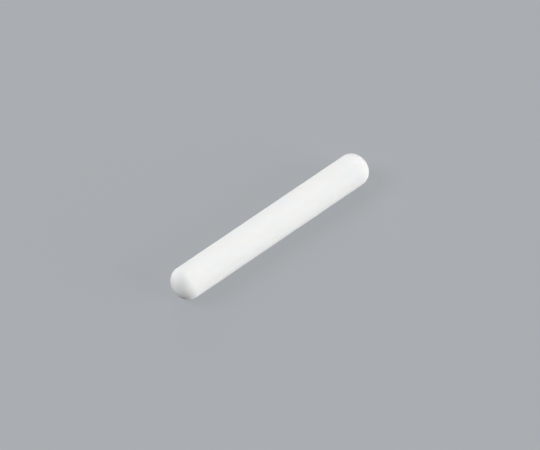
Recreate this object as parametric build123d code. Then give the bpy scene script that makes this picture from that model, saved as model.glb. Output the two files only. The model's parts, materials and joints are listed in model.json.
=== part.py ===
from build123d import *
import os
from math import sqrt

# A plain magnetic stir bar, in millimetres: a cylindrical magnet sealed inside a
# seamless white plastic jacket with a domed end at each side.
# The origin is the middle of the bar. +X runs along the bar and +Z is up, which is
# the axis that the bar spins about at the bottom of a flask.

# Outside of the bar
BAR_LENGTH = 70.0  # from tip to tip
BAR_DIAMETER = 10.0  # across the round body
END_DEPTH = 4.4  # how far each domed end stands past the straight body

# Walls of the jacket
SIDE_WALL = 1.5  # between the cavity and the round body
END_WALL = 5.0  # between the cavity and the tip of a domed end

# Magnet
MAGNET_CLEARANCE = 0.0  # each side; the jacket grips the magnet as it cools, so none is left
MAGNET_CHAMFER = 0.4  # break round each end of the magnet, at 45 degrees

# What follows from the sizes above
CAVITY_LENGTH = BAR_LENGTH - 2 * END_WALL
CAVITY_DIAMETER = BAR_DIAMETER - 2 * SIDE_WALL
MAGNET_LENGTH = CAVITY_LENGTH - 2 * MAGNET_CLEARANCE
MAGNET_DIAMETER = CAVITY_DIAMETER - 2 * MAGNET_CLEARANCE

# A three-point curve with these weights is exactly a quarter of an ellipse
QUARTER_ELLIPSE = (1, sqrt(1 / 2), 1)


def domed_rod(length, diameter, end_depth):
    """A solid round rod on the X axis whose two ends are half ellipses in outline."""
    radius = diameter / 2
    tip = length / 2
    shoulder = tip - end_depth
    with BuildPart() as rod:
        with BuildSketch(Plane.XZ):
            with BuildLine():
                Bezier((tip, 0), (tip, radius), (shoulder, radius), weights=QUARTER_ELLIPSE)
                Line((shoulder, radius), (-shoulder, radius))
                Bezier((-shoulder, radius), (-tip, radius), (-tip, 0), weights=QUARTER_ELLIPSE)
                Line((-tip, 0), (tip, 0))
            make_face()
        revolve(axis=Axis.X)
    return rod.part


def chamfered_rod(length, diameter, chamfer_leg):
    """A solid round rod on the X axis with its two end edges broken at 45 degrees."""
    with BuildPart() as rod:
        Cylinder(diameter / 2, length, rotation=(0, 90, 0))
        chamfer(rod.edges().filter_by(GeomType.CIRCLE), chamfer_leg)
    return rod.part


def make_jacket():
    """The jacket is moulded in one piece around the magnet, so its cavity has no way out."""
    outside = domed_rod(BAR_LENGTH, BAR_DIAMETER, END_DEPTH)
    cavity = chamfered_rod(CAVITY_LENGTH, CAVITY_DIAMETER, MAGNET_CHAMFER)
    return outside - cavity


def make_magnet():
    """The magnet is a plain rod, ground to length, and fills the jacket's cavity."""
    return chamfered_rod(MAGNET_LENGTH, MAGNET_DIAMETER, MAGNET_CHAMFER)


def write_node(name, shape):
    """Write one sub-part to its own file and print its volume and size."""
    solids = shape.solids()
    if len(solids) != 1 or not solids[0].is_valid:
        raise ValueError(f"{name} isn't one sound solid")
    export_step(solids[0], f"parts/{name}.step")
    size = solids[0].bounding_box().size
    print(f"{name}: {solids[0].volume:.1f} mm3, {size.X:.2f} x {size.Y:.2f} x {size.Z:.2f} mm")


os.makedirs("parts", exist_ok=True)
write_node("jacket", make_jacket())
write_node("magnet", make_magnet())
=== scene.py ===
"""A plain white magnetic stir bar on a pale grey studio floor.

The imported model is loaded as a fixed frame, and the sizes of the jacket and its cavity are
read from it. The jacket is modelled as a hollow moulded skin of those sizes. The magnet
inside keeps its own mesh and is given a cast and ground metal finish. All lengths are in
metres, and the angles of the lamps and the camera are in degrees.
"""

import json
import logging
from dataclasses import dataclass
from enum import Enum
from math import cos, pi, radians, sin
from typing import Any

import bmesh
import bpy
from mathutils import Matrix, Vector, noise

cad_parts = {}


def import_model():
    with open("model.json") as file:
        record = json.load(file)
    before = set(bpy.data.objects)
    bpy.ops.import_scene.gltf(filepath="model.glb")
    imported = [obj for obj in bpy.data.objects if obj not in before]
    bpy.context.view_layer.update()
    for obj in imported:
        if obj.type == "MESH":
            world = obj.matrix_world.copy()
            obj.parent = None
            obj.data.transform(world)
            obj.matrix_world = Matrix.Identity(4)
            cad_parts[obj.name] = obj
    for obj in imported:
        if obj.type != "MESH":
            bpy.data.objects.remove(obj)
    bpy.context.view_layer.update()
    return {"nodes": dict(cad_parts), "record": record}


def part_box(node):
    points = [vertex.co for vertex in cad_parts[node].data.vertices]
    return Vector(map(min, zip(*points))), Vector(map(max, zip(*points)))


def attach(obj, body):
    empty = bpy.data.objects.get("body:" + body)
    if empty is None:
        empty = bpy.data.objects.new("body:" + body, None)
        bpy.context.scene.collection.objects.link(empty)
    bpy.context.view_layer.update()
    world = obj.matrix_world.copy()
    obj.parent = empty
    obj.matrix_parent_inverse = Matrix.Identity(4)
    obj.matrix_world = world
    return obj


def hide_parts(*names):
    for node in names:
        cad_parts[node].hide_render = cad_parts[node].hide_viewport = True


Colour = tuple[float, float, float]
Stretch = tuple[float, float, float]

MM = 0.001
ROOT_BODY = "root"
BODY_MOUNT = "body"

# Blender's wave texture makes this many radians of wave in one unit at a scale of 1.
WAVE_RADIANS = 20.0
# How many finer layers of noise the wave texture strays by.
RING_DETAIL = 1.0
# Vertices closer than this are one vertex.
WELD = 0.0001 * MM

log = logging.getLogger("stir_bar")


class Node(Enum):
    """The two physical pieces, by the names of their nodes."""

    JACKET = "jacket"
    MAGNET = "magnet"


class Side(Enum):
    """Which way the faces of a closed skin look."""

    OUTWARD = "outward"
    INWARD = "inward"


class ShaderGraph:
    """A material with one Principled shader, and short calls that add nodes to it."""

    def __init__(self, name: str) -> None:
        """Start the material.

        Args:
            name: what the material is called.
        """
        self.material = bpy.data.materials.new(name)
        self.material.use_nodes = True
        self.nodes = self.material.node_tree.nodes
        self.links = self.material.node_tree.links
        self.shader = self.nodes["Principled BSDF"]
        self.place = self.nodes.new("ShaderNodeTexCoord").outputs["Object"]

    def set(self, **values: Any) -> None:
        """Set the shader's own sockets.

        Args:
            values: socket names, with underscores for spaces, and their values.
        """
        for name, value in values.items():
            self.shader.inputs[name.replace("_", " ")].default_value = value

    def feed(self, socket: str, source: bpy.types.NodeSocket) -> None:
        """Join an output to one of the shader's sockets.

        Args:
            socket: the shader's socket.
            source: the output that feeds it.
        """
        self.links.new(source, self.shader.inputs[socket])

    def stretched(self, scale: Stretch) -> bpy.types.NodeSocket:
        """Stretch the object's own coordinates.

        Args:
            scale: how much faster a pattern runs along X, Y and Z.

        Returns:
            The stretched coordinates.
        """
        mapping = self.nodes.new("ShaderNodeMapping")
        mapping.inputs["Scale"].default_value = scale
        self.links.new(self.place, mapping.inputs["Vector"])
        return mapping.outputs["Vector"]

    def clouds(
        self, size: float, detail: float = 2.0, place: bpy.types.NodeSocket | None = None
    ) -> bpy.types.NodeSocket:
        """Add soft noise.

        Args:
            size: how wide one cloud is.
            detail: how many finer layers it has.
            place: the coordinates to use, or the object's own.

        Returns:
            The noise, from 0 to 1 about a middle of 0.5.
        """
        node = self.nodes.new("ShaderNodeTexNoise")
        node.inputs["Scale"].default_value = 1 / size
        node.inputs["Detail"].default_value = detail
        self.links.new(place or self.place, node.inputs["Vector"])
        return node.outputs[0]

    def cells(self, size: float) -> bpy.types.NodeSocket:
        """Add a pattern of crystal-like cells.

        Args:
            size: how wide one cell is.

        Returns:
            The distance from each cell's middle, growing towards its edge.
        """
        node = self.nodes.new("ShaderNodeTexVoronoi")
        node.inputs["Scale"].default_value = 1 / size
        self.links.new(self.place, node.inputs["Vector"])
        return node.outputs["Distance"]

    def spread(
        self,
        source: bpy.types.NodeSocket,
        low: float,
        high: float,
        middle: float = 0.5,
        reach: float = 0.2,
    ) -> bpy.types.NodeSocket:
        """Map noise to a range.

        Args:
            source: the noise.
            low: the result at the noise's low end.
            high: the result at the noise's high end.
            middle: the noise's middle value.
            reach: how far either side of the middle the range runs.

        Returns:
            The mapped value.
        """
        node = self.nodes.new("ShaderNodeMapRange")
        node.inputs["From Min"].default_value = middle - reach
        node.inputs["From Max"].default_value = middle + reach
        node.inputs["To Min"].default_value = low
        node.inputs["To Max"].default_value = high
        self.links.new(source, node.inputs["Value"])
        return node.outputs["Result"]

    def tint(self, source: bpy.types.NodeSocket, low: Colour, high: Colour) -> bpy.types.NodeSocket:
        """Run between two colours.

        Args:
            source: a value from 0 to 1.
            low: the colour at 0.
            high: the colour at 1.

        Returns:
            The colour.
        """
        node = self.nodes.new("ShaderNodeValToRGB")
        node.color_ramp.elements[0].color = (*low, 1)
        node.color_ramp.elements[1].color = (*high, 1)
        self.links.new(source, node.inputs["Fac"])
        return node.outputs["Color"]

    def dent(
        self, height: bpy.types.NodeSocket, depth: float, under: bpy.types.NodeSocket | None = None
    ) -> bpy.types.NodeSocket:
        """Turn a height into a bumpy normal.

        Args:
            height: the pattern, from 0 to 1.
            depth: how deep the pattern is.
            under: the normal of the layer below, if there is one.

        Returns:
            The normal.
        """
        node = self.nodes.new("ShaderNodeBump")
        node.inputs["Distance"].default_value = depth
        self.links.new(height, node.inputs["Height"])
        if under:
            self.links.new(under, node.inputs["Normal"])
        return node.outputs["Normal"]

    def rings(self, pitch: float, wander: float) -> bpy.types.NodeSocket:
        """Add fine rings about the X axis, as a turned end has.

        Args:
            pitch: the distance from one ring to the next.
            wander: how far the rings stray from true circles.

        Returns:
            The rings' height, from 0 to 1.
        """
        node = self.nodes.new("ShaderNodeTexWave")
        node.wave_type = "RINGS"
        node.rings_direction = "X"
        node.inputs["Scale"].default_value = 2 * pi / (WAVE_RADIANS * pitch)
        node.inputs["Distortion"].default_value = wander
        node.inputs["Detail"].default_value = RING_DETAIL
        self.links.new(self.place, node.inputs["Vector"])
        return node.outputs["Fac"]

    def show_camera(self, colour: Colour, share: float) -> None:
        """Let a plain glow make up part of what the camera sees of the surface.

        Args:
            colour: the glow's colour.
            share: how much of the view it makes up, from 0 to 1.
        """
        glow = self.nodes.new("ShaderNodeEmission")
        glow.inputs["Color"].default_value = (*colour, 1)
        part = self.nodes.new("ShaderNodeMath")
        part.operation = "MULTIPLY"
        part.inputs[1].default_value = share
        self.links.new(seen_rays(self.material.node_tree), part.inputs[0])
        mix = self.nodes.new("ShaderNodeMixShader")
        self.links.new(part.outputs["Value"], mix.inputs["Fac"])
        self.links.new(self.shader.outputs["BSDF"], mix.inputs[1])
        self.links.new(glow.outputs["Emission"], mix.inputs[2])
        self.links.new(mix.outputs["Shader"], self.nodes["Material Output"].inputs["Surface"])


@dataclass(frozen=True)
class WaxyWhite:
    """The finish of sintered white fluoropolymer: waxy, slightly cloudy and satin."""

    cool: Colour = (0.892, 0.903, 0.900)
    warm: Colour = (0.922, 0.913, 0.888)
    cloud_size: float = 5.0 * MM
    fine_detail: float = 4.0
    bump_detail: float = 3.0
    ior: float = 1.36
    gloss: float = 0.3
    glow_share: float = 0.6
    glow_depth: float = 0.45 * MM
    glow_colour: Colour = (1.0, 0.95, 0.85)
    smooth: float = 0.42
    rough: float = 0.58
    handling_size: float = 2.2 * MM
    peel_size: float = 0.45 * MM
    peel_depth: float = 0.018 * MM
    streak_size: float = 0.35 * MM
    streak_stretch: Stretch = (0.06, 1.0, 1.0)
    streak_depth: float = 0.010 * MM
    ring_pitch: float = 0.32 * MM
    ring_wander: float = 1.2
    ring_depth: float = 0.005 * MM

    def material(self) -> bpy.types.Material:
        """Build the material.

        Returns:
            The finished material.
        """
        graph = ShaderGraph("waxy_white")
        graph.set(
            IOR=self.ior,
            Specular_IOR_Level=self.gloss,
            Subsurface_Weight=self.glow_share,
            Subsurface_Radius=self.glow_colour,
            Subsurface_Scale=self.glow_depth,
        )
        clouds = graph.spread(graph.clouds(self.cloud_size), 0.0, 1.0)
        graph.feed("Base Color", graph.tint(clouds, self.cool, self.warm))
        handling = graph.clouds(self.handling_size, self.fine_detail)
        graph.feed("Roughness", graph.spread(handling, self.smooth, self.rough))
        peel = graph.dent(graph.clouds(self.peel_size, self.bump_detail), self.peel_depth)
        along = graph.stretched(self.streak_stretch)
        lines = graph.clouds(self.streak_size, self.bump_detail, along)
        streaks = graph.dent(lines, self.streak_depth, peel)
        rings = graph.dent(graph.rings(self.ring_pitch, self.ring_wander), self.ring_depth, streaks)
        graph.feed("Normal", rings)
        return graph.material


@dataclass(frozen=True)
class CastMagnetMetal:
    """The finish of a cast magnet alloy that is ground to size: dark, grained and dull."""

    dark: Colour = (0.20, 0.20, 0.21)
    light: Colour = (0.34, 0.34, 0.35)
    grain_size: float = 0.9 * MM
    grain_middle: float = 0.4
    grain_reach: float = 0.3
    dull_detail: float = 4.0
    scratch_detail: float = 2.0
    smooth: float = 0.42
    rough: float = 0.62
    dull_size: float = 1.5 * MM
    scratch_size: float = 0.12 * MM
    scratch_stretch: Stretch = (1.0, 0.08, 0.08)
    scratch_depth: float = 0.006 * MM

    def material(self) -> bpy.types.Material:
        """Build the material.

        Returns:
            The finished material.
        """
        graph = ShaderGraph("cast_magnet_metal")
        graph.set(Metallic=1.0)
        cells = graph.cells(self.grain_size)
        crystals = graph.spread(cells, 0.0, 1.0, self.grain_middle, self.grain_reach)
        graph.feed("Base Color", graph.tint(crystals, self.light, self.dark))
        dullness = graph.clouds(self.dull_size, self.dull_detail)
        graph.feed("Roughness", graph.spread(dullness, self.smooth, self.rough))
        around = graph.stretched(self.scratch_stretch)
        scratches = graph.clouds(self.scratch_size, self.scratch_detail, around)
        graph.feed("Normal", graph.dent(scratches, self.scratch_depth))
        return graph.material


@dataclass(frozen=True)
class StudioGrey:
    """The floor's finish: matt grey paper with a faint fibre, lit softly from behind."""

    paper: Colour = (0.201, 0.2115, 0.2225)
    glow: Colour = (0.536, 0.564, 0.593)
    glow_share: float = 0.6
    rough: float = 0.9
    gloss: float = 0.1
    fibre_size: float = 0.6 * MM
    fibre_detail: float = 3.0
    fibre_depth: float = 0.02 * MM

    def material(self) -> bpy.types.Material:
        """Build the material.

        Returns:
            The finished material.
        """
        graph = ShaderGraph("studio_grey")
        graph.set(Base_Color=(*self.paper, 1), Roughness=self.rough, Specular_IOR_Level=self.gloss)
        fibre = graph.clouds(self.fibre_size, self.fibre_detail)
        graph.feed("Normal", graph.dent(fibre, self.fibre_depth))
        graph.show_camera(self.glow, self.glow_share)
        return graph.material


@dataclass
class Jacket:
    """The moulded jacket: a domed skin outside and a closed cavity inside."""

    length: float
    diameter: float
    end_depth: float
    cavity_length: float
    cavity_diameter: float
    cavity_chamfer: float = 0.4 * MM
    dome_rings: int = 28
    body_rings: int = 110
    turns: int = 144
    cavity_turns: int = 64
    swell: float = 0.030 * MM
    swell_width: float = 9.0 * MM
    ripple: float = 0.010 * MM
    ripple_width: float = 3.0 * MM

    def dome(self, towards: int) -> list[Vector]:
        """Outline one domed end, from the tip to the straight body.

        Args:
            towards: 1 for the +X end or -1 for the -X end.

        Returns:
            The points of a quarter of an ellipse.
        """
        shoulder = self.length / 2 - self.end_depth
        angles = [pi / 2 * step / self.dome_rings for step in range(self.dome_rings + 1)]
        return [
            Vector((towards * (shoulder + self.end_depth * cos(a)), 0, self.diameter / 2 * sin(a)))
            for a in angles
        ]

    def cavity(self, towards: int) -> list[Vector]:
        """Outline one end of the cavity, from the axis to the cavity's side.

        Args:
            towards: 1 for the +X end or -1 for the -X end.

        Returns:
            The three corners of a chamfered end.
        """
        end = self.cavity_length / 2
        side = self.cavity_diameter / 2
        leg = self.cavity_chamfer
        return [
            Vector((towards * end, 0, 0)),
            Vector((towards * end, 0, side - leg)),
            Vector((towards * (end - leg), 0, side)),
        ]

    def spin(
        self,
        shape: bmesh.types.BMesh,
        start: list[Vector],
        end: list[Vector],
        rings: int,
        turns: int,
        side: Side,
    ) -> list[bmesh.types.BMVert]:
        """Spin an outline about the X axis into a closed skin.

        Args:
            shape: the mesh that the skin is added to.
            start: the outline of the +X end, from the axis outwards.
            end: the outline of the -X end, from the axis outwards.
            rings: how many rings divide the straight run between the two ends.
            turns: how many steps make a full turn.
            side: which way the skin's faces look.

        Returns:
            The skin's vertices.
        """
        skin = bmesh.new()
        points = [skin.verts.new(p) for p in [*start, *reversed(end)]]
        edges = [skin.edges.new(pair) for pair in zip(points, points[1:])]
        straight = edges[len(start) - 1]
        bmesh.ops.subdivide_edges(skin, edges=[straight], cuts=rings)
        bmesh.ops.spin(
            skin, geom=[*skin.verts, *skin.edges], cent=(0, 0, 0), axis=(1, 0, 0), dvec=(0, 0, 0),
            angle=2 * pi, space=Matrix.Identity(4), steps=turns, use_merge=True,
            use_normal_flip=False, use_duplicate=False,
        )
        bmesh.ops.remove_doubles(skin, verts=skin.verts, dist=WELD)
        bmesh.ops.recalc_face_normals(skin, faces=skin.faces)
        if side is Side.INWARD:
            bmesh.ops.reverse_faces(skin, faces=skin.faces)
        held = bpy.data.meshes.new("skin")
        skin.to_mesh(held)
        skin.free()
        before = len(shape.verts)
        shape.from_mesh(held)
        bpy.data.meshes.remove(held)
        shape.verts.ensure_lookup_table()
        return shape.verts[before:]

    def settle(self, verts: list[bmesh.types.BMVert]) -> None:
        """Draw the outer skin in a little, unevenly, as a moulding shrinks.

        Args:
            verts: the outer skin's vertices.
        """
        for vert in verts:
            swell = 0.5 + 0.5 * noise.noise(vert.co / self.swell_width)
            ripple = 0.5 + 0.5 * noise.noise(vert.co / self.ripple_width)
            vert.co -= vert.normal * (self.swell * swell + self.ripple * ripple)

    def build(self, finish: WaxyWhite) -> None:
        """Make the jacket and stand it for its node.

        Args:
            finish: what the jacket is made of.
        """
        shape = bmesh.new()
        outer = self.spin(shape, self.dome(1), self.dome(-1), self.body_rings, self.turns, Side.OUTWARD)
        shape.normal_update()
        self.settle(outer)
        for face in shape.faces:
            face.smooth = True
        self.spin(shape, self.cavity(1), self.cavity(-1), 0, self.cavity_turns, Side.INWARD)
        mesh = bpy.data.meshes.new("jacket_skin")
        shape.to_mesh(mesh)
        shape.free()
        mesh.materials.append(finish.material())
        piece = bpy.data.objects.new("jacket_skin", mesh)
        bpy.context.scene.collection.objects.link(piece)
        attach(piece, ROOT_BODY)
        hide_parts(Node.JACKET.value)
        log.info("jacket_skin: %d faces", len(mesh.polygons))


@dataclass
class Magnet:
    """The magnet inside the jacket, which keeps its own mesh."""

    piece: bpy.types.Object

    def dress(self, finish: CastMagnetMetal) -> None:
        """Give the magnet its finish.

        Args:
            finish: what the magnet is made of.
        """
        self.piece.data.materials.clear()
        self.piece.data.materials.append(finish.material())
        log.info("magnet: dressed")


@dataclass(frozen=True)
class SoftLamp:
    """A large, distant lamp, whose width is the angle that it fills of the sky."""

    name: str
    azimuth: float
    elevation: float
    strength: float
    width: float
    colour: Colour = (0.98, 0.99, 1.0)

    def place(self) -> None:
        """Add the lamp to the scene."""
        data = bpy.data.lights.new(self.name, "SUN")
        data.energy = self.strength
        data.angle = radians(self.width)
        data.color = self.colour
        lamp = bpy.data.objects.new(self.name, data)
        back = direction(self.azimuth, self.elevation)
        lamp.rotation_euler = back.to_track_quat("Z", "Y").to_euler()
        lamp.location = back
        bpy.context.scene.collection.objects.link(lamp)


@dataclass
class Studio:
    """The floor, the lamps and the world, whose light is plain and whose look is a pale grey."""

    floor_height: float
    floor_width: float = 12.0
    sky: Colour = (1.0, 0.98, 0.94)
    sky_strength: float = 0.147
    seen: Colour = (0.402, 0.423, 0.445)
    lamps: tuple[SoftLamp, ...] = (
        SoftLamp("front_lamp", azimuth=35.0, elevation=14.0, strength=3.08, width=38.0),
        SoftLamp("left_lamp", azimuth=231.0, elevation=45.0, strength=2.01, width=32.0),
        SoftLamp("back_lamp", azimuth=150.0, elevation=28.0, strength=1.00, width=36.0),
    )

    def lay_floor(self, finish: StudioGrey) -> None:
        """Lay the floor under the bar.

        Args:
            finish: the floor's finish.
        """
        shape = bmesh.new()
        bmesh.ops.create_grid(shape, x_segments=1, y_segments=1, size=self.floor_width / 2)
        bmesh.ops.translate(shape, verts=shape.verts, vec=(0, 0, self.floor_height))
        mesh = bpy.data.meshes.new("floor")
        shape.to_mesh(mesh)
        shape.free()
        mesh.materials.append(finish.material())
        floor = bpy.data.objects.new("floor", mesh)
        bpy.context.scene.collection.objects.link(floor)

    def light(self) -> None:
        """Fill the room with plain light, seen as a pale wall, and place the lamps."""
        world = bpy.data.worlds.new("studio")
        bpy.context.scene.world = world
        world.use_nodes = True
        nodes = world.node_tree.nodes
        links = world.node_tree.links
        glow = nodes["Background"]
        glow.inputs["Color"].default_value = (*self.sky, 1)
        glow.inputs["Strength"].default_value = self.sky_strength
        wall = nodes.new("ShaderNodeBackground")
        wall.inputs["Color"].default_value = (*self.seen, 1)
        mix = nodes.new("ShaderNodeMixShader")
        links.new(seen_rays(world.node_tree), mix.inputs["Fac"])
        links.new(glow.outputs["Background"], mix.inputs[1])
        links.new(wall.outputs["Background"], mix.inputs[2])
        links.new(mix.outputs["Shader"], nodes["World Output"].inputs["Surface"])
        for lamp in self.lamps:
            lamp.place()
        log.info("studio: %d lamps", len(self.lamps))


@dataclass(frozen=True)
class BarCamera:
    """A long lens that looks down on the bar past its -X end, aimed just off its middle."""

    azimuth: float = -39.26
    elevation: float = 55.87
    distance: float = 1.2
    frame_width: float = 0.1540
    sensor_width: float = 0.036
    aim_left: float = 0.13 * MM
    aim_up: float = 0.27 * MM

    def place(self, target: Vector) -> None:
        """Add the camera and make it the scene's own.

        Args:
            target: the point in the middle of the picture.
        """
        data = bpy.data.cameras.new("camera")
        data.sensor_width = self.sensor_width / MM
        data.lens = data.sensor_width * self.distance / self.frame_width
        camera = bpy.data.objects.new("camera", data)
        back = direction(self.azimuth, self.elevation)
        turned = back.to_track_quat("Z", "Y")
        aim = target + turned @ Vector((-self.aim_left, self.aim_up, 0))
        camera.location = aim + back * self.distance
        camera.rotation_euler = turned.to_euler()
        bpy.context.scene.collection.objects.link(camera)
        bpy.context.scene.camera = camera


def seen_rays(tree: bpy.types.NodeTree) -> bpy.types.NodeSocket:
    """Tell the rays that see a surface from those that only light it.

    Args:
        tree: the material's or the world's nodes.

    Returns:
        1 for a camera, glossy or transmission ray, and 0 for any other.
    """
    path = tree.nodes.new("ShaderNodeLightPath")
    seen = path.outputs["Is Camera Ray"]
    for name in ("Is Glossy Ray", "Is Transmission Ray"):
        either = tree.nodes.new("ShaderNodeMath")
        either.operation = "MAXIMUM"
        tree.links.new(seen, either.inputs[0])
        tree.links.new(path.outputs[name], either.inputs[1])
        seen = either.outputs["Value"]
    return seen


def direction(azimuth: float, elevation: float) -> Vector:
    """Point from the bar towards a place around it.

    Args:
        azimuth: degrees round from -Y towards +X.
        elevation: degrees above the floor.

    Returns:
        A unit vector.
    """
    turn = radians(azimuth)
    rise = radians(elevation)
    return Vector((sin(turn) * cos(rise), -cos(turn) * cos(rise), sin(rise)))


def mount_length(record: dict[str, Any], name: str) -> float:
    """Read the length of a mount.

    Args:
        record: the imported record.
        name: the mount's name.

    Returns:
        The length in metres.
    """
    mount = next(m for m in record["mounts"] if m["name"] == name)
    return mount["dims"]["length_mm"] * MM


def main() -> None:
    """Load the frame, then make the pieces, the studio and the camera in order."""
    logging.basicConfig(level=logging.INFO)
    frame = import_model()
    bpy.context.scene.view_settings.view_transform = "Standard"
    low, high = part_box(Node.JACKET.value)
    inner_low, inner_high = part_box(Node.MAGNET.value)
    jacket = Jacket(
        length=high.x - low.x,
        diameter=high.y - low.y,
        end_depth=(high.x - low.x - mount_length(frame["record"], BODY_MOUNT)) / 2,
        cavity_length=inner_high.x - inner_low.x,
        cavity_diameter=inner_high.y - inner_low.y,
    )
    BarCamera().place((low + high) / 2)
    jacket.build(WaxyWhite())
    Magnet(frame["nodes"][Node.MAGNET.value]).dress(CastMagnetMetal())
    studio = Studio(floor_height=low.z)
    studio.lay_floor(StudioGrey())
    studio.light()


if __name__ == "__main__":
    main()
